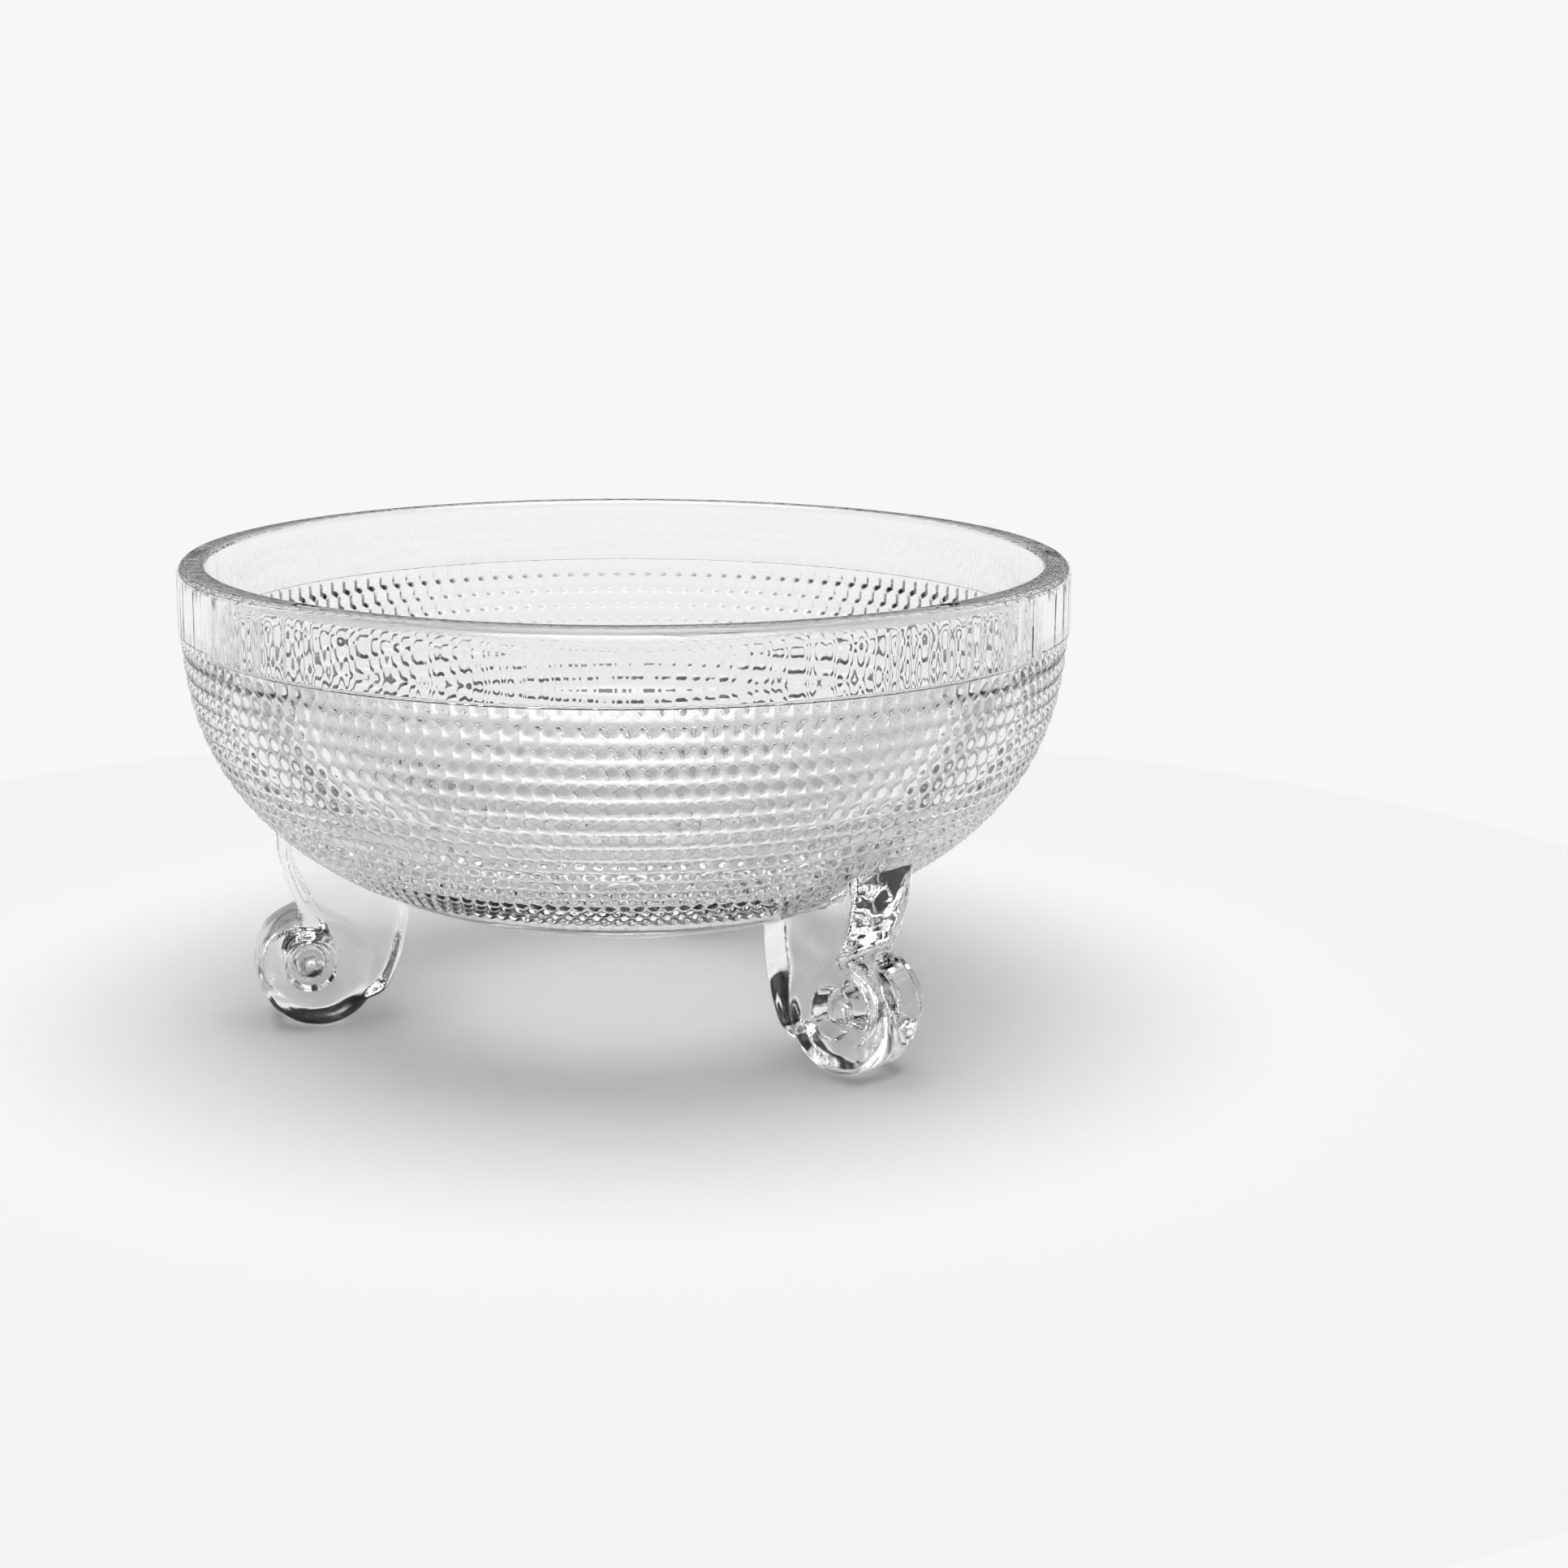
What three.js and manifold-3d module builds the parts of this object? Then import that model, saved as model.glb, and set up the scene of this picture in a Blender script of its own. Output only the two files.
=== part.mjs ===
// A footed punch bowl in clear pressed glass: one round bowl with a plain band under its rim,
// carried on three scroll feet that are fused to its underside.
// Millimetres, +Z up. The origin is on the table under the middle of the bowl, and one foot points along +Y.
import * as THREE from "three";
import { mergeVertices } from "three/addons/utils/BufferGeometryUtils.js";
import Module from "manifold-3d";

const wasm = await Module();
wasm.setup();

// ---- Bowl: overall sizes ----
const RIM_DIAMETER = 300; // across the outside of the plain band
const TOTAL_HEIGHT = 156.5; // table to the top of the rim
const TABLE_CLEARANCE = 36; // table to the flat underside of the bowl
const BAND_HEIGHT = 24; // plain band under the rim, above the beaded wall
const BAND_STEP = 0.8; // how far the beaded wall lies inside the band's face
const SHOULDER_DEPTH = 13.6; // below this depth the wall starts to curve inwards
const CURVE_DEPTH = 111.5; // depth of the whole curve, if it ran on past the flat underside
const CURVE_DEPTH_POWER = 2.558; // the two powers of the wall's superellipse
const CURVE_RADIUS_POWER = 2.176;

// ---- Bowl: wall ----
const RIM_THICKNESS = 9.8; // wall under the rim
const BODY_THICKNESS = 8.6; // wall of the beaded body
const FLOOR_THICKNESS = 10.5; // glass between the inside floor and the underside
const RIM_OUTER_ROUND = 3.4; // fire-polished rounding of the rim, outside
const RIM_INNER_ROUND = 2.2; // and inside

// ---- Feet ----
const FOOT_COUNT = 3;
const FOOT_WIDTH = 27; // across the scroll, side face to side face
const SCROLL_RADIUS = 20.5; // outer coil of the scroll
const SCROLL_CENTRE_RADIUS = 0.361 * RIM_DIAMETER; // from the bowl's axis to the middle of the scroll
const COIL_PULL_IN = 0.14; // share by which the coil's radius is smaller where it leaves the leg
const REST_CUT = 0.2; // how much is ground off the scroll's lowest point to make its flat
const LEG_INNER_RADIUS = SCROLL_CENTRE_RADIUS - 30.3; // where the leg's inner edge meets the bowl
const LEG_OUTER_RADIUS = SCROLL_CENTRE_RADIUS + 13.2; // and its outer edge
const LEG_TOE_RADIUS = SCROLL_CENTRE_RADIUS - 21.5; // the lowest corner of the leg's inner edge
const LEG_TOE_HEIGHT = 11;
const TOE_ANGLE = -141; // degrees round the scroll, from outwards, where its coil meets the toe
const NECK_ANGLE = 76; // and where it meets the leg's outer edge
const EDGE_ROUND = 3.6; // rounding of the leg and the coil along both side faces
const EYE_POCKET_RADIUS = 8.7; // hollow around the scroll's eye, in each side face
const EYE_POCKET_DEPTH = 3.6;
const EYE_RADIUS = 4.7; // the domed eye in the middle of it
const EYE_OUTWARDS = 3.2; // the eye lies this far outwards of the middle of the scroll
const EYE_UPWARDS = 2.2; // and this far above it
const FUSED_GAP = 0.3; // seam between a foot and the bowl

// ---- Fineness of the round surfaces ----
const BOWL_SEGMENTS = 72;
const CURVE_STEPS = 14;
const ROUND_STEPS = 3;
const SCROLL_STEPS = 32;
const LEG_STEPS = 8;
const EYE_SEGMENTS = 16;

const GLASS = { metalness: 0, roughness: 0.02, transparent: true, opacity: 0.35 };
const bowlGlass = new THREE.MeshStandardMaterial({ color: 0xf0f4f3, ...GLASS });
const footGlass = new THREE.MeshStandardMaterial({ color: 0xeaf0ee, ...GLASS });

// Joins a geometry's loose vertices and makes it a solid that can be cut.
function toSolid(geometry) {
  const bare = geometry.clone();
  bare.deleteAttribute("normal");
  bare.deleteAttribute("uv");
  const merged = mergeVertices(bare, 1e-4);
  return new wasm.Manifold(
    new wasm.Mesh({
      numProp: 3,
      vertProperties: merged.attributes.position.array,
      triVerts: new Uint32Array(merged.index.array),
    }),
  );
}

// Turns a cut solid back into a geometry.
function toGeometry(solid) {
  const mesh = solid.getMesh();
  const geometry = new THREE.BufferGeometry();
  geometry.setAttribute("position", new THREE.BufferAttribute(mesh.vertProperties, 3));
  geometry.setIndex(new THREE.BufferAttribute(mesh.triVerts, 1));
  return geometry;
}

// Revolves a profile of [radius, height] points, listed from the bottom up on the outside, about +Z.
function revolve(points, segments) {
  const profile = points.map(([radius, height]) => new THREE.Vector2(radius, height));
  return new THREE.LatheGeometry(profile, segments).rotateX(Math.PI / 2);
}

// ---- The bowl's outer surface ----
const rimRadius = RIM_DIAMETER / 2;

// Radius of the smooth outer surface at a depth below the top of the rim.
function outerRadiusAt(depth) {
  if (depth <= SHOULDER_DEPTH) return rimRadius;
  const share = Math.min(1, (depth - SHOULDER_DEPTH) / CURVE_DEPTH);
  return rimRadius * (1 - share ** CURVE_DEPTH_POWER) ** (1 / CURVE_RADIUS_POWER);
}

// Height above the table of the smooth outer surface at a radius, never under the flat underside.
function outerHeightAt(radius) {
  const share = (1 - (radius / rimRadius) ** CURVE_RADIUS_POWER) ** (1 / CURVE_DEPTH_POWER);
  return Math.max(TABLE_CLEARANCE, TOTAL_HEIGHT - SHOULDER_DEPTH - CURVE_DEPTH * share);
}

const undersideDepth = TOTAL_HEIGHT - TABLE_CLEARANCE;

// Points of the outer wall from the underside up to the band, moved outwards by an offset.
function outerWall(offset) {
  const points = [];
  for (let i = 0; i <= CURVE_STEPS; i++) {
    // Equal steps of angle keep the steps short where the wall turns under.
    const angle = (i / CURVE_STEPS) * (Math.PI / 2);
    const depth = BAND_HEIGHT + (undersideDepth - BAND_HEIGHT) * Math.cos(angle);
    const slope = (outerRadiusAt(depth + 0.01) - outerRadiusAt(depth - 0.01)) / 0.02;
    const length = Math.hypot(1, slope);
    points.push([
      outerRadiusAt(depth) - BAND_STEP + offset / length,
      TOTAL_HEIGHT - depth + (offset * slope) / length,
    ]);
  }
  return points;
}

// A quarter-round corner of the rim from one angle to another, in degrees.
function rimRound(centreRadius, round, from, to) {
  const points = [];
  for (let i = 0; i <= ROUND_STEPS; i++) {
    const angle = THREE.MathUtils.degToRad(from + ((to - from) * i) / ROUND_STEPS);
    points.push([
      centreRadius + round * Math.cos(angle),
      TOTAL_HEIGHT - round + round * Math.sin(angle),
    ]);
  }
  return points;
}

// ---- Bowl ----
function bowlGeometry() {
  const innerRimRadius = rimRadius - RIM_THICKNESS;
  const floorHeight = TABLE_CLEARANCE + FLOOR_THICKNESS;
  const outside = outerWall(0);
  // The inside follows the outside at the body's thickness, down to the flat inside floor.
  const inside = outerWall(-BODY_THICKNESS)
    .filter(([radius, height]) => height > floorHeight + 1)
    .map(([radius, height]) => [Math.min(radius, innerRimRadius), height])
    .reverse();
  const innermost = inside[inside.length - 1];
  const floorRadius = innermost[0] - 6;
  return revolve(
    [
      [0, TABLE_CLEARANCE],
      ...outside,
      [rimRadius, TOTAL_HEIGHT - BAND_HEIGHT + BAND_STEP],
      ...rimRound(rimRadius - RIM_OUTER_ROUND, RIM_OUTER_ROUND, 0, 90),
      ...rimRound(innerRimRadius + RIM_INNER_ROUND, RIM_INNER_ROUND, 90, 180),
      ...inside,
      [floorRadius, floorHeight],
      [0, floorHeight],
    ],
    BOWL_SEGMENTS,
  );
}

// ---- Feet ----
const scrollCentreHeight = SCROLL_RADIUS - REST_CUT;

// Side outline of a foot in the plane through the bowl's axis: x is the radius, y the height.
function footOutline() {
  const bury = 9; // the leg runs this far into the bowl before it is trimmed to it
  const toeAngle = THREE.MathUtils.degToRad(TOE_ANGLE);
  const neckAngle = THREE.MathUtils.degToRad(NECK_ANGLE);
  const rootInnerHeight = outerHeightAt(LEG_INNER_RADIUS);
  const rootOuterHeight = outerHeightAt(LEG_OUTER_RADIUS);
  const onScroll = (angle) => {
    const pull = COIL_PULL_IN * Math.max(0, angle / neckAngle) ** 2;
    const radius = SCROLL_RADIUS * (1 - pull);
    return new THREE.Vector2(
      SCROLL_CENTRE_RADIUS + radius * Math.cos(angle),
      scrollCentreHeight + radius * Math.sin(angle),
    );
  };
  // The leg's inner edge sweeps down to its toe, the coil runs round from there to the neck,
  // and the leg's outer edge sweeps back up to the bowl.
  const innerEdge = new THREE.QuadraticBezierCurve(
    new THREE.Vector2(LEG_INNER_RADIUS, rootInnerHeight - 2),
    new THREE.Vector2(LEG_INNER_RADIUS + 1.5, LEG_TOE_HEIGHT + 14),
    new THREE.Vector2(LEG_TOE_RADIUS, LEG_TOE_HEIGHT),
  ).getPoints(LEG_STEPS);
  const coil = [];
  for (let i = 0; i <= SCROLL_STEPS; i++) {
    coil.push(onScroll(toeAngle + ((neckAngle - toeAngle) * i) / SCROLL_STEPS));
  }
  const outerEdge = new THREE.QuadraticBezierCurve(
    onScroll(neckAngle),
    new THREE.Vector2(LEG_OUTER_RADIUS - 0.8, scrollCentreHeight + SCROLL_RADIUS + 9),
    new THREE.Vector2(LEG_OUTER_RADIUS, rootOuterHeight - 2),
  ).getPoints(LEG_STEPS);
  return new THREE.Shape([
    new THREE.Vector2(LEG_INNER_RADIUS, rootInnerHeight + bury),
    ...innerEdge,
    ...coil,
    ...outerEdge.slice(1),
    new THREE.Vector2(LEG_OUTER_RADIUS, rootOuterHeight + bury),
  ]);
}

// One foot at the origin's frame, its side outline in the YZ plane and pointing along +Y.
function footSolid() {
  const blank = new THREE.ExtrudeGeometry(footOutline(), {
    depth: FOOT_WIDTH - 2 * EDGE_ROUND,
    bevelEnabled: true,
    bevelThickness: EDGE_ROUND,
    bevelSize: EDGE_ROUND,
    bevelOffset: -EDGE_ROUND,
    bevelSegments: ROUND_STEPS,
  });
  // Stand the outline up: its x runs along +Y, its y along +Z, and the extrusion along X.
  blank.translate(0, 0, EDGE_ROUND - FOOT_WIDTH / 2);
  blank.applyMatrix4(new THREE.Matrix4().makeBasis(
    new THREE.Vector3(0, 1, 0),
    new THREE.Vector3(0, 0, 1),
    new THREE.Vector3(1, 0, 0),
  ));
  let foot = toSolid(blank);
  for (const side of [-1, 1]) {
    const face = (side * FOOT_WIDTH) / 2;
    const eyeRadius = SCROLL_CENTRE_RADIUS + EYE_OUTWARDS;
    const eyeHeight = scrollCentreHeight + EYE_UPWARDS;
    const pocket = new THREE.CylinderGeometry(
      EYE_POCKET_RADIUS,
      EYE_POCKET_RADIUS - 1.5,
      2 * EYE_POCKET_DEPTH,
      EYE_SEGMENTS,
    );
    pocket.rotateZ((-side * Math.PI) / 2).translate(face, eyeRadius, eyeHeight);
    const eye = new THREE.SphereGeometry(EYE_RADIUS, EYE_SEGMENTS, EYE_SEGMENTS / 2);
    eye.translate(face - side * EYE_RADIUS, eyeRadius, eyeHeight);
    foot = foot.subtract(toSolid(pocket)).add(toSolid(eye));
  }
  // Grind the foot flat on the table and trim its root to the bowl's underside.
  const below = new THREE.BoxGeometry(4 * FOOT_WIDTH, rimRadius * 2, 2 * SCROLL_RADIUS);
  below.translate(0, rimRadius, -SCROLL_RADIUS);
  const bowlBlank = revolve(
    [
      [0, TABLE_CLEARANCE - FUSED_GAP],
      ...outerWall(FUSED_GAP),
      [0, TOTAL_HEIGHT - BAND_HEIGHT],
    ],
    BOWL_SEGMENTS,
  );
  return foot.subtract(toSolid(below)).subtract(toSolid(bowlBlank));
}

// ---- Assembly ----
const punchBowl = new THREE.Group();

const bowl = new THREE.Mesh(bowlGeometry(), bowlGlass);
bowl.name = "bowl";
punchBowl.add(bowl);

const footGeometry = toGeometry(footSolid());
const footNames = ["foot_rear", "foot_left", "foot_right"];
for (let i = 0; i < FOOT_COUNT; i++) {
  const foot = new THREE.Mesh(footGeometry, footGlass);
  foot.name = footNames[i];
  foot.rotation.z = (i * 2 * Math.PI) / FOOT_COUNT;
  punchBowl.add(foot);
}

export default punchBowl;
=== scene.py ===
import bpy, bmesh, math
import numpy as np
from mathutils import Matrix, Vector


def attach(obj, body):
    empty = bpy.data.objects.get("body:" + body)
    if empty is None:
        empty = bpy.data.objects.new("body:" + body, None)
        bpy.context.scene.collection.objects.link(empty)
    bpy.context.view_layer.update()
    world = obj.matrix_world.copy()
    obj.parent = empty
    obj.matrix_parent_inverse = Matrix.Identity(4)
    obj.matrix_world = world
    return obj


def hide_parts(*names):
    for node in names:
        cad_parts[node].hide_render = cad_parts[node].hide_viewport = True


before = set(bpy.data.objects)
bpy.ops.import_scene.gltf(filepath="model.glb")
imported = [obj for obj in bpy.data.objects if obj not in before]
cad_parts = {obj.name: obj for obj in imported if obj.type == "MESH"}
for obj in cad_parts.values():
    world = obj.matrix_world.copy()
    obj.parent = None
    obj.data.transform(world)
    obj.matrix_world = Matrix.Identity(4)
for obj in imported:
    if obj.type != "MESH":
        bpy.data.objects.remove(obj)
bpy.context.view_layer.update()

# ---- Bowl ----
# One thick piece of clear pressed glass: a plain band under a fire-polished rim, then rows of
# round beads pressed by the mould in staggered rings, and a smooth inside.
rim_radius = 0.150
rim_height = 0.1565
underside = 0.036
band_height = 0.024
wall = 0.0086
floor_glass = 0.0105
beads_round = 154
bead_rows = 18
bead_height = 0.00105
crest_depth = 0.0006
row_spacing = 1.0239  # rows are this many bead pitches apart
first_row = 0.0272  # length of wall from the rim's top to the first row's middle
feet_at = [math.radians(a) for a in (90, 210, 330)]


def wall_radius(depth):
    share = min(1.0, max(0.0, (depth - 0.0136) / 0.1115))
    return rim_radius * (1 - share**2.558) ** (1 / 2.176)


# The wall's line from the rim down, with the length of wall run at each depth.
line, length = [], 0.0
depth = 0.0
while depth < rim_height - underside:
    line.append((length, wall_radius(depth), rim_height - depth))
    step = 0.00005 + 0.00045 * max(0.0, (0.112 - depth) / 0.112)
    length += math.hypot(step, wall_radius(depth + step) - wall_radius(depth))
    depth += step
line = np.array(line)


def wall_point(run, offset):
    """Radius and height on the wall's line after a length of wall, moved out along its normal."""
    radius = np.interp(run, line[:, 0], line[:, 1])
    height = np.interp(run, line[:, 0], line[:, 2])
    ahead_r = np.interp(run + 0.0004, line[:, 0], line[:, 1]) - np.interp(run - 0.0004, line[:, 0], line[:, 1])
    ahead_z = np.interp(run + 0.0004, line[:, 0], line[:, 2]) - np.interp(run - 0.0004, line[:, 0], line[:, 2])
    size = np.hypot(ahead_r, ahead_z)
    return radius - offset * ahead_z / size, height + offset * ahead_r / size


# How far down the wall each row lies: the beads shrink with the ring they stand in.
rows_at, run = [], first_row - 0.0042
rows_v = [-0.7]
run = first_row
for i in range(70):
    run -= 0.01 * 2 * math.pi * np.interp(run, line[:, 0], line[:, 1]) / beads_round
runs = [run]
while rows_v[-1] < (bead_rows - 1) * row_spacing + 0.8:
    run += 0.01 * 2 * math.pi * np.interp(run, line[:, 0], line[:, 1]) / beads_round
    runs.append(run)
    rows_v.append(rows_v[-1] + 0.01)
rows_v, runs = np.array(rows_v), np.array(runs)

# One bead, as a flat cell of the pattern one pitch wide: a dome on a six-sided cell.
bpy.ops.object.select_all(action="DESELECT")
bpy.ops.mesh.primitive_circle_add(vertices=12, radius=0.25, fill_type="TRIFAN")
bowl = bpy.context.object
bowl.name = "bowl_glass_body"
bpy.ops.object.mode_set(mode="EDIT")
bpy.ops.mesh.select_all(action="SELECT")
bpy.ops.transform.rotate(value=math.radians(90), orient_axis="Z", center_override=(0, 0, 0))
for grown in (0.425 / 0.25, 0.56 / 0.425):
    bpy.ops.mesh.select_all(action="SELECT")
    bpy.ops.mesh.region_to_loop()
    bpy.ops.mesh.extrude_edges_move()
    bpy.ops.transform.resize(value=(grown, grown, 1), center_override=(0, 0, 0))
bpy.ops.object.mode_set(mode="OBJECT")
side = row_spacing / 3
for v in bowl.data.vertices:
    reach = math.hypot(v.co.x, v.co.y)
    turn = round(math.degrees(math.atan2(v.co.y, v.co.x))) % 360
    if reach > 0.5:
        sx, sy = (1 if turn < 89 or turn > 271 else -1), (1 if turn < 180 else -1)
        corner = min(turn % 180, 180 - turn % 180)
        place = {0: (0.5, 0), 30: (0.5, side), 60: (0.25, 1.5 * side), 90: (0, 2 * side)}[corner]
        v.co = (place[0] * sx, place[1] * sy, 0)
    else:
        v.co.z = 1 - (reach / 0.5) ** 2
        v.co.y *= 1.1
for count, offset in (
    (beads_round, (1, 0, 0)),
    (2, (0.5, -row_spacing, 0)),
    (bead_rows // 2, (0, -2 * row_spacing, 0)),
):
    m = bowl.modifiers.new("Array", "ARRAY")
    m.count = count
    m.use_relative_offset = False
    m.use_constant_offset = True
    m.constant_offset_displace = offset
    bpy.ops.object.modifier_apply(modifier=m.name)

# Wrap the flat pattern round the wall. Under each foot the beads run out into a smooth pad.
last_v = (bead_rows - 1) * row_spacing
for v in bowl.data.vertices:
    across, down, dome = v.co.x, -v.co.y, v.co.z
    if down < -side + 0.01 and dome < 0.01:
        down = -0.6
    if down > last_v + side - 0.01 and dome < 0.01:
        down = last_v + 0.6
    turn = 2 * math.pi * across / beads_round
    run = np.interp(down, rows_v, runs)
    radius, height = wall_point(run, 0)
    x, y = radius * math.cos(turn), radius * math.sin(turn)
    pad = 0.0
    for a in feet_at:
        out = x * math.cos(a) + y * math.sin(a)
        along = abs(y * math.cos(a) - x * math.sin(a))
        away = math.hypot(max(0, along - 0.0135), max(0, 0.078 - out, out - 0.1215)) if out > 0 else 1
        pad = max(pad, 1 - min(1, max(0, (away - 0.0012) / 0.0028)))
    dome = dome + (1 - dome) * pad
    radius, height = wall_point(run, -crest_depth - bead_height * (1 - dome))
    v.co = (radius * math.cos(turn), radius * math.sin(turn), height)

# The plain parts, turned from their profiles: the band, rim and inside, and the smooth bottom.
top_run = float(np.interp(-0.6, rows_v, runs))
low_run = float(np.interp(last_v + 0.6, rows_v, runs))
upper = [(rim_radius - 0.0007, rim_height - band_height + 0.0001), (rim_radius - 0.0002, rim_height - band_height + 0.0005)]
upper += [(rim_radius, rim_height - d) for d in (0.0225, 0.018, 0.013, 0.008)]
for i in range(7):
    a = math.radians(15 * i)
    upper.append((rim_radius - 0.0034 + 0.0034 * math.cos(a), rim_height - 0.0034 + 0.0034 * math.sin(a)))
for i in range(7):
    a = math.radians(90 + 15 * i)
    upper.append((rim_radius - 0.0098 + 0.0022 + 0.0022 * math.cos(a), rim_height - 0.0022 + 0.0022 * math.sin(a)))
inner_top = rim_radius - 0.0098
floor_height = underside + floor_glass
inside_line = []
for i in range(60):
    r, z = wall_point(0.006 + i * (line[-1, 0] - 0.012) / 59, -wall - 0.0008)
    if z > floor_height + 0.0012 and z < rim_height - 0.006:
        inside_line.append((min(inner_top, float(r)), float(z)))
upper += inside_line[::2]
r_end = inside_line[-1][0]
upper += [(r_end - 0.0045, floor_height + 0.0004), (r_end - 0.008, floor_height), (r_end * 0.55, floor_height), (0, floor_height)]
lower = []
for i in range(6):
    r, z = wall_point(low_run + (i + 1) * (line[-1, 0] - low_run) / 6.6, -crest_depth - 0.0004)
    if z > underside + 0.0004:
        lower.append((float(r), float(z)))
r_end = lower[-1][0]
lower += [(r_end - 0.004, underside + 0.0002), (r_end - 0.007, underside), (r_end * 0.5, underside), (0, underside)]

for profile in (upper, lower):
    bpy.ops.object.select_all(action="DESELECT")
    bpy.ops.mesh.primitive_plane_add(size=0.001)
    part = bpy.context.object
    bpy.ops.object.mode_set(mode="EDIT")
    bpy.ops.mesh.select_all(action="SELECT")
    bpy.ops.mesh.merge(type="CENTER")
    bpy.ops.transform.translate(value=(profile[0][0], 0, profile[0][1]))
    for (r0, z0), (r1, z1) in zip(profile, profile[1:]):
        bpy.ops.mesh.extrude_vertices_move(TRANSFORM_OT_translate={"value": (r1 - r0, 0, z1 - z0)})
    bpy.ops.mesh.select_all(action="SELECT")
    bpy.ops.mesh.spin(steps=beads_round, angle=2 * math.pi, center=(0, 0, 0), axis=(0, 0, 1))
    bpy.ops.mesh.select_all(action="SELECT")
    bpy.ops.mesh.remove_doubles(threshold=0.00002)
    bpy.ops.object.mode_set(mode="OBJECT")
    part.select_set(True)
    bowl.select_set(True)
    bpy.context.view_layer.objects.active = bowl
    bpy.ops.object.join()

bpy.ops.object.mode_set(mode="EDIT")
bpy.ops.mesh.select_all(action="SELECT")
bpy.ops.mesh.remove_doubles(threshold=0.00002)
bpy.ops.mesh.select_mode(type="EDGE")
for low, high in ((0.125, 0.140), (0.036, 0.060)):
    bpy.ops.mesh.select_all(action="DESELECT")
    mesh = bmesh.from_edit_mesh(bowl.data)
    for e in mesh.edges:
        z = (e.verts[0].co.z + e.verts[1].co.z) / 2
        if e.is_boundary and low < z < high:
            e.select = True
    mesh.select_flush_mode()
    bmesh.update_edit_mesh(bowl.data)
    bpy.ops.mesh.bridge_edge_loops()
bpy.ops.mesh.select_all(action="SELECT")
bpy.ops.mesh.normals_make_consistent(inside=False)
bpy.ops.object.mode_set(mode="OBJECT")
bpy.ops.object.shade_smooth_by_angle(angle=math.radians(33))


glass = bpy.data.materials.new("clear_glass_bowl")
glass.use_nodes = True
n = glass.node_tree.nodes
p = n["Principled BSDF"]
p.inputs["Base Color"].default_value = (0.967, 0.97, 0.968, 1)
p.inputs["Roughness"].default_value = 0.0
p.inputs["IOR"].default_value = 1.5
p.inputs["Transmission Weight"].default_value = 1.0
# The band's face carries the upright ripple of the mould and the fire: strong in places, calm in others.
gl = glass.node_tree.links
where = n.new("ShaderNodeTexCoord")
drawn_up = n.new("ShaderNodeMapping")
drawn_up.inputs["Scale"].default_value = (1, 1, 0.05)
gl.new(where.outputs["Object"], drawn_up.inputs["Vector"])
ripple = n.new("ShaderNodeTexNoise")
ripple.inputs["Scale"].default_value = 150
ripple.inputs["Detail"].default_value = 1
gl.new(drawn_up.outputs[0], ripple.inputs["Vector"])
calm = n.new("ShaderNodeTexNoise")
calm.inputs["Scale"].default_value = 14
calm.inputs["Detail"].default_value = 0
gl.new(where.outputs["Object"], calm.inputs["Vector"])
calm_share = n.new("ShaderNodeMapRange")
calm_share.inputs["From Min"].default_value = 0.38
calm_share.inputs["From Max"].default_value = 0.62
calm_share.inputs["To Min"].default_value = 0.25
gl.new(calm.outputs["Fac"], calm_share.inputs["Value"])
height = n.new("ShaderNodeSeparateXYZ")
gl.new(where.outputs["Object"], height.inputs[0])
on_band = n.new("ShaderNodeMapRange")
on_band.inputs["From Min"].default_value = 0.131
on_band.inputs["From Max"].default_value = 0.1335
on_band.inputs["To Min"].default_value = 0.12
gl.new(height.outputs["Z"], on_band.inputs["Value"])
under_rim = n.new("ShaderNodeMapRange")
under_rim.inputs["From Min"].default_value = 0.1495
under_rim.inputs["From Max"].default_value = 0.1530
under_rim.inputs["To Min"].default_value = 1.0
under_rim.inputs["To Max"].default_value = 0.0
gl.new(height.outputs["Z"], under_rim.inputs["Value"])
between = n.new("ShaderNodeMath")
between.operation = "MULTIPLY"
gl.new(on_band.outputs[0], between.inputs[0])
gl.new(under_rim.outputs[0], between.inputs[1])
strength = n.new("ShaderNodeMath")
strength.operation = "MULTIPLY"
gl.new(between.outputs[0], strength.inputs[0])
gl.new(calm_share.outputs[0], strength.inputs[1])
bump = n.new("ShaderNodeBump")
bump.inputs["Distance"].default_value = 0.00035
gl.new(ripple.outputs["Fac"], bump.inputs["Height"])
gl.new(strength.outputs[0], bump.inputs["Strength"])
gl.new(bump.outputs[0], p.inputs["Normal"])
bowl.data.materials.clear()
bowl.data.materials.append(glass)
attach(bowl, "root")
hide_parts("bowl")

# ---- Feet ----
# Each foot is a pressed scroll: a leg that comes down from the bowl, its raised outer border
# winding on as a coil round a hollow with a domed eye. It's fused to the bowl and ground flat below.
foot_half = 0.0135
panel_sunk = 0.0014
coil_centre = (0.1083, 0.0203)
coil_radius = 0.0205
eye_centre = (0.1113, 0.0222)
leg_line = [(78, 56), (78, 42), (78.2, 38), (78.9, 32.5), (80, 27), (81.9, 20.6), (84.4, 14.6), (86.9, 11.2), (90.5, 9.4), (95, 8.6),
            (104, 12), (112, 30), (113.4, 39.5), (115.8, 44.2), (118, 49.5), (119.8, 56), (120.9, 62), (121.5, 68), (121.6, 78)]
border_line = [(116.4, 78), (117.6, 66), (117.2, 59), (114.9, 51.7), (111.1, 43.7), (106.6, 35.7), (102.1, 28.4), (99.2, 22.5), (98.2, 17),
               (100.6, 12.6), (104.4, 10.2), (109.1, 9.2), (114, 9.3), (118.4, 10.8), (122.6, 13.4), (126, 17.4), (127.6, 22), (127.2, 27),
               (125, 31.4), (121.4, 34.9), (117, 37.4), (113.6, 39.4), (115.9, 44.2), (118.2, 49.5), (120, 56), (121.1, 62), (121.7, 68), (121.8, 78)]


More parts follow.
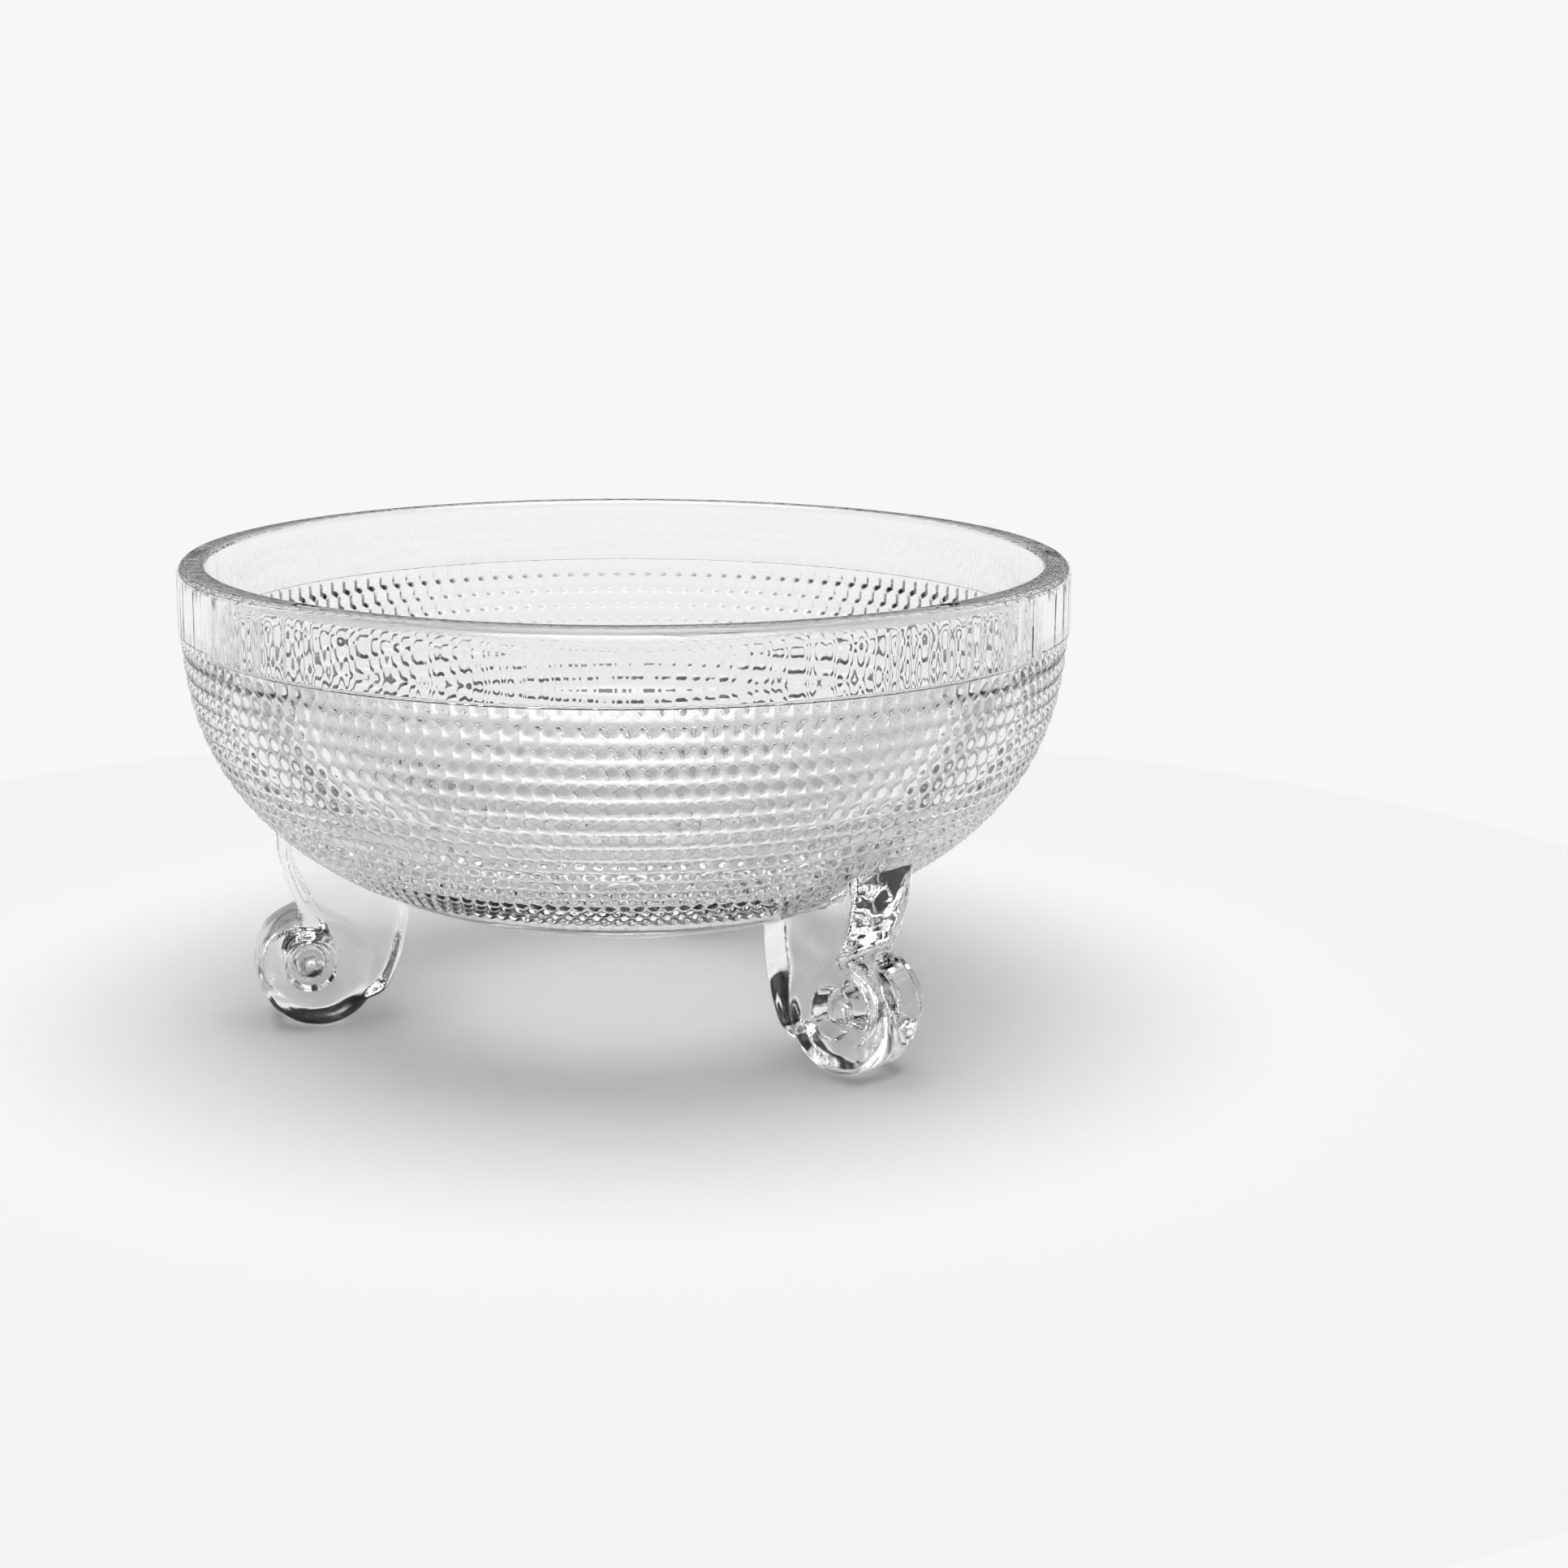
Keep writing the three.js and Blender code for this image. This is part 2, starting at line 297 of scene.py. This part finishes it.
def closed_slab(name, points, half, edge, segments):
    """A plate of even thickness from an outline in the plane of the foot, its edges rounded."""
    bpy.ops.object.select_all(action="DESELECT")
    bpy.ops.mesh.primitive_plane_add(size=0.001)
    slab = bpy.context.object
    slab.name = name
    bpy.ops.object.mode_set(mode="EDIT")
    bpy.ops.mesh.select_mode(type="VERT")
    bpy.ops.mesh.select_all(action="SELECT")
    bpy.ops.mesh.merge(type="CENTER")
    bpy.ops.transform.translate(value=(-half, points[0][0] / 1000, points[0][1] / 1000))
    for (y0, z0), (y1, z1) in zip(points, points[1:]):
        bpy.ops.mesh.extrude_vertices_move(TRANSFORM_OT_translate={"value": (0, (y1 - y0) / 1000, (z1 - z0) / 1000)})
    bpy.ops.mesh.select_all(action="SELECT")
    bpy.ops.mesh.edge_face_add()
    bpy.ops.mesh.extrude_region_move(TRANSFORM_OT_translate={"value": (2 * half, 0, 0)})
    bpy.ops.mesh.select_all(action="SELECT")
    bpy.ops.mesh.normals_make_consistent(inside=False)
    bpy.ops.mesh.select_mode(type="EDGE")
    bpy.ops.mesh.select_all(action="DESELECT")
    mesh = bmesh.from_edit_mesh(slab.data)
    for e in mesh.edges:
        if abs(abs(e.verts[0].co.x) - half) < 1e-6 and abs(e.verts[0].co.x - e.verts[1].co.x) < 1e-6:
            e.select = True
    mesh.select_flush_mode()
    bmesh.update_edit_mesh(slab.data)
    bpy.ops.mesh.bevel(offset=edge, segments=segments, affect="EDGES")
    bpy.ops.object.mode_set(mode="OBJECT")
    return slab


def smooth_line(points, cuts):
    """More points on a line that runs smoothly through the given ones."""
    out = []
    last = len(points) - 1
    for i in range(last):
        p0, p1, p2, p3 = (Vector(points[max(0, min(last, i + k))]) for k in (-1, 0, 1, 2))
        for j in range(cuts):
            t = j / cuts
            out.append(tuple(0.5 * (2 * p1 + (p2 - p0) * t + (2 * p0 - 5 * p1 + 4 * p2 - p3) * t * t + (3 * p1 - p0 - 3 * p2 + p3) * t**3)))
    out.append(points[-1])
    return out


leg = closed_slab("foot_rear_glass", smooth_line(leg_line, 2), foot_half - panel_sunk, 0.0022, 3)
border = closed_slab("border", smooth_line(border_line, 2), foot_half, 0.0008, 2)
bpy.ops.object.select_all(action="DESELECT")
bpy.ops.mesh.primitive_cylinder_add(vertices=96, radius=coil_radius, depth=2 * foot_half - 0.001, location=(0, *coil_centre), rotation=(0, math.pi / 2, 0))
coil = bpy.context.object
bpy.ops.object.transform_apply(location=True, rotation=True, scale=True)
bpy.ops.object.mode_set(mode="EDIT")
bpy.ops.mesh.select_mode(type="EDGE")
bpy.ops.mesh.select_all(action="DESELECT")
mesh = bmesh.from_edit_mesh(coil.data)
for e in mesh.edges:
    if abs(e.verts[0].co.x - e.verts[1].co.x) < 1e-6:
        e.select = True
mesh.select_flush_mode()
bmesh.update_edit_mesh(coil.data)
bpy.ops.mesh.bevel(offset=0.0065, segments=6, affect="EDGES")
bpy.ops.object.mode_set(mode="OBJECT")

hollows, eyes = [], []
for side in (-1, 1):
    bpy.ops.object.select_all(action="DESELECT")
    bpy.ops.mesh.primitive_cone_add(vertices=64, radius1=0.0072, radius2=0.0092, depth=0.009, location=(side * (foot_half - 0.0025), *eye_centre), rotation=(0, side * math.pi / 2, 0))
    bpy.ops.object.transform_apply(location=True, rotation=True, scale=True)
    hollows.append(bpy.context.object)
    bpy.ops.mesh.primitive_uv_sphere_add(segments=48, ring_count=24, radius=0.0048, location=(side * (foot_half - 0.0056), eye_centre[0] - 0.0003, eye_centre[1] - 0.0006))
    bpy.ops.object.transform_apply(location=True, rotation=True, scale=True)
    eyes.append(bpy.context.object)
for other, how in [(border, "UNION"), (coil, "UNION"), (hollows[0], "DIFFERENCE"), (hollows[1], "DIFFERENCE"), (eyes[0], "UNION"), (eyes[1], "UNION")]:
    m = leg.modifiers.new("Boolean", "BOOLEAN")
    m.object, m.operation, m.solver = other, how, "EXACT"
    bpy.context.view_layer.objects.active = leg
    bpy.ops.object.modifier_apply(modifier=m.name)
    bpy.data.objects.remove(other)
root = leg.copy()
root.data = leg.data.copy()
bpy.context.scene.collection.objects.link(root)
# The mould's soft corners, as the fire leaves them.
bpy.ops.object.select_all(action="DESELECT")
leg.select_set(True)
bpy.context.view_layer.objects.active = leg
leg.data.remesh_voxel_size = 0.00055
leg.data.remesh_voxel_adaptivity = 0
bpy.ops.object.voxel_remesh()
m = leg.modifiers.new("Smooth", "SMOOTH")
m.factor, m.iterations = 0.5, 20
bpy.ops.object.modifier_apply(modifier=m.name)

# Trim the root to the bowl, half a millimetre inside its glass, and grind the foot flat.
bpy.ops.object.select_all(action="DESELECT")
bpy.ops.mesh.primitive_plane_add(size=0.001)
bowl_blank = bpy.context.object
bpy.ops.object.mode_set(mode="EDIT")
bpy.ops.mesh.select_mode(type="VERT")
bpy.ops.mesh.select_all(action="SELECT")
bpy.ops.mesh.merge(type="CENTER")
outline = [(0.0, float(underside))]
for i in range(40):
    r, z = wall_point(line[-1, 0] - 0.0005 - i * 0.0028, -crest_depth - 0.0005)
    outline.append((float(r), float(z)))
outline += [(0.0, outline[-1][1]), outline[0]]
bpy.ops.transform.translate(value=(0, 0, outline[0][1]))
for (r0, z0), (r1, z1) in zip(outline, outline[1:]):
    bpy.ops.mesh.extrude_vertices_move(TRANSFORM_OT_translate={"value": (r1 - r0, 0, z1 - z0)})
bpy.ops.mesh.select_all(action="SELECT")
bpy.ops.mesh.spin(steps=180, angle=2 * math.pi, center=(0, 0, 0), axis=(0, 0, 1))
bpy.ops.mesh.select_all(action="SELECT")
bpy.ops.mesh.remove_doubles(threshold=0.00002)
bpy.ops.mesh.normals_make_consistent(inside=False)
bpy.ops.object.mode_set(mode="OBJECT")

foot_glass = bpy.data.materials.new("clear_glass_foot")
foot_glass.use_nodes = True
fn, fl = foot_glass.node_tree.nodes, foot_glass.node_tree.links
fp = fn["Principled BSDF"]
fp.inputs["Base Color"].default_value = (0.93, 0.934, 0.932, 1)
fp.inputs["Roughness"].default_value = 0.0
fp.inputs["IOR"].default_value = 1.5
fp.inputs["Transmission Weight"].default_value = 1.0
# Slow waves left in the thick glass as it set.
foot_where = fn.new("ShaderNodeTexCoord")
waves = fn.new("ShaderNodeTexNoise")
waves.inputs["Scale"].default_value = 62
waves.inputs["Detail"].default_value = 0.5
fl.new(foot_where.outputs["Object"], waves.inputs["Vector"])
foot_bump = fn.new("ShaderNodeBump")
foot_bump.inputs["Strength"].default_value = 1.0
foot_bump.inputs["Distance"].default_value = 0.0016
fl.new(waves.outputs["Fac"], foot_bump.inputs["Height"])
fl.new(foot_bump.outputs[0], fp.inputs["Normal"])
joint = bpy.data.materials.new("fused_joint")
joint.use_nodes = True
jn = joint.node_tree.nodes
jn.remove(jn["Principled BSDF"])
see = jn.new("ShaderNodeBsdfTransparent")
joint.node_tree.links.new(see.outputs[0], jn["Material Output"].inputs["Surface"])
leg.data.materials.clear()
leg.data.materials.append(foot_glass)
root.data.materials.clear()
root.data.materials.append(joint)
bowl_blank.data.materials.append(joint)
for cut in (leg, root):
    m = cut.modifiers.new("Boolean", "BOOLEAN")
    m.object, m.operation, m.solver = bowl_blank, "DIFFERENCE", "EXACT"
    m.material_mode = "TRANSFER"
    bpy.context.view_layer.objects.active = cut
    bpy.ops.object.modifier_apply(modifier=m.name)
bpy.data.objects.remove(bowl_blank)
bpy.context.view_layer.objects.active = leg
bpy.ops.object.mode_set(mode="EDIT")
bpy.ops.mesh.select_all(action="SELECT")
bpy.ops.mesh.bisect(plane_co=(0, 0, 0), plane_no=(0, 0, 1), use_fill=True, clear_inner=True, threshold=1e-7)
bpy.ops.mesh.select_all(action="SELECT")
bpy.ops.mesh.normals_make_consistent(inside=False)
bpy.ops.object.mode_set(mode="OBJECT")
bpy.ops.object.shade_smooth_by_angle(angle=math.radians(40))

# Where each foot is fused on there is no surface between its glass and the bowl's.
bpy.ops.object.select_all(action="DESELECT")
roots = [root]
for turn in (120, 240):
    other = root.copy()
    other.data = root.data.copy()
    bpy.context.scene.collection.objects.link(other)
    bpy.ops.object.select_all(action="DESELECT")
    other.select_set(True)
    bpy.context.view_layer.objects.active = other
    bpy.ops.transform.rotate(value=-math.radians(turn), orient_axis="Z", center_override=(0, 0, 0))
    bpy.ops.object.transform_apply(location=True, rotation=True, scale=True)
    roots.append(other)
for other in roots:
    other.select_set(True)
bpy.context.view_layer.objects.active = root
bpy.ops.object.join()
m = bowl.modifiers.new("Boolean", "BOOLEAN")
m.object, m.operation, m.solver, m.material_mode = root, "DIFFERENCE", "EXACT", "TRANSFER"
bpy.context.view_layer.objects.active = bowl
bpy.ops.object.modifier_apply(modifier=m.name)
bpy.data.objects.remove(root)

feet = [leg]
for turn in (120, 240):
    foot = leg.copy()
    foot.data = leg.data.copy()
    bpy.context.scene.collection.objects.link(foot)
    bpy.ops.object.select_all(action="DESELECT")
    foot.select_set(True)
    bpy.context.view_layer.objects.active = foot
    bpy.ops.transform.rotate(value=-math.radians(turn), orient_axis="Z", center_override=(0, 0, 0))
    bpy.ops.object.transform_apply(location=True, rotation=True, scale=True)
    feet.append(foot)
for foot, node in zip(feet, ("foot_rear", "foot_left", "foot_right")):
    foot.name = node + "_glass"
    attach(foot, "root")
    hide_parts(node)

# ---- Room ----
bpy.ops.mesh.primitive_circle_add(vertices=96, radius=0.45, fill_type="NGON")
table = bpy.context.object
table.name = "table_top"
white = bpy.data.materials.new("table_white")
white.use_nodes = True
white.node_tree.nodes["Principled BSDF"].inputs["Base Color"].default_value = (0.9, 0.9, 0.9, 1)
white.node_tree.nodes["Principled BSDF"].inputs["Roughness"].default_value = 0.9
white.node_tree.nodes["Principled BSDF"].inputs["Specular IOR Level"].default_value = 0.0
table.data.materials.append(white)

world = bpy.data.worlds.new("studio")
bpy.context.scene.world = world
world.use_nodes = True
wn, wl = world.node_tree.nodes, world.node_tree.links
co = wn.new("ShaderNodeTexCoord")
xyz = wn.new("ShaderNodeSeparateXYZ")
wl.new(co.outputs["Generated"], xyz.inputs[0])


def world_ramp(source, stops):
    ramp = wn.new("ShaderNodeMapRange")
    wl.new(source, ramp.inputs["Value"])
    ramp.inputs["From Min"].default_value, ramp.inputs["From Max"].default_value = -1, 1
    colours = wn.new("ShaderNodeValToRGB")
    colours.color_ramp.interpolation = "EASE"
    wl.new(ramp.outputs["Result"], colours.inputs["Fac"])
    el = colours.color_ramp.elements
    for i, (pos, val) in enumerate(stops):
        e = el[i] if i < 2 else el.new((pos + 1) / 2)
        e.position, e.color = (pos + 1) / 2, (val, val, val, 1)
    return colours.outputs["Color"]


def world_math(kind, a, b):
    node = wn.new("ShaderNodeMath")
    node.operation = kind
    for i, x in enumerate((a, b)):
        if isinstance(x, (int, float)):
            node.inputs[i].default_value = x
        else:
            wl.new(x, node.inputs[i])
    return node.outputs[0]


# Pale all round up to just above the table's level, a dark room over that, and a soft box overhead.
pale = world_ramp(xyz.outputs["Z"], [(-1, 0.93), (0.0, 0.93), (0.05, 0.0), (1, 0)])
box = world_ramp(xyz.outputs["Z"], [(-1, 0), (0.84, 0), (0.9, 1.0), (1, 1)])
light = world_math("ADD", pale, world_math("MULTIPLY", box, 4.1))
# Seen directly the room is pale everywhere, so it meets the table's edge.
path = wn.new("ShaderNodeLightPath")
seen = wn.new("ShaderNodeMix")
seen.data_type = "FLOAT"
wl.new(path.outputs["Is Camera Ray"], seen.inputs[0])
wl.new(light, seen.inputs[2])
seen.inputs[3].default_value = 0.93
wl.new(seen.outputs[0], wn["Background"].inputs["Color"])

# ---- Camera ----
bpy.ops.object.camera_add()
camera = bpy.context.object
turn = math.radians(18.25)
camera.location = (0.9637 * math.sin(turn), -0.9637 * math.cos(turn), rim_height + 0.1416)
yaw, pitch, roll = 0.0557, 0.2260, math.radians(0.466)
from mathutils import Matrix
camera.rotation_mode = "QUATERNION"
camera.rotation_quaternion = (
    Matrix.Rotation(turn - yaw, 3, "Z") @ Matrix.Rotation(math.pi / 2 - pitch, 3, "X") @ Matrix.Rotation(roll, 3, "Z")
).to_quaternion()
camera.data.sensor_width = 36
camera.data.lens = 3526.7 / 1932 * 36
camera.data.clip_end = 50
bpy.context.scene.camera = camera
bpy.context.scene.view_settings.view_transform = "Standard"
bpy.context.scene.cycles.max_bounces = 32
bpy.context.scene.cycles.transmission_bounces = 32
bpy.context.scene.cycles.glossy_bounces = 12

bpy.context.view_layer.update()
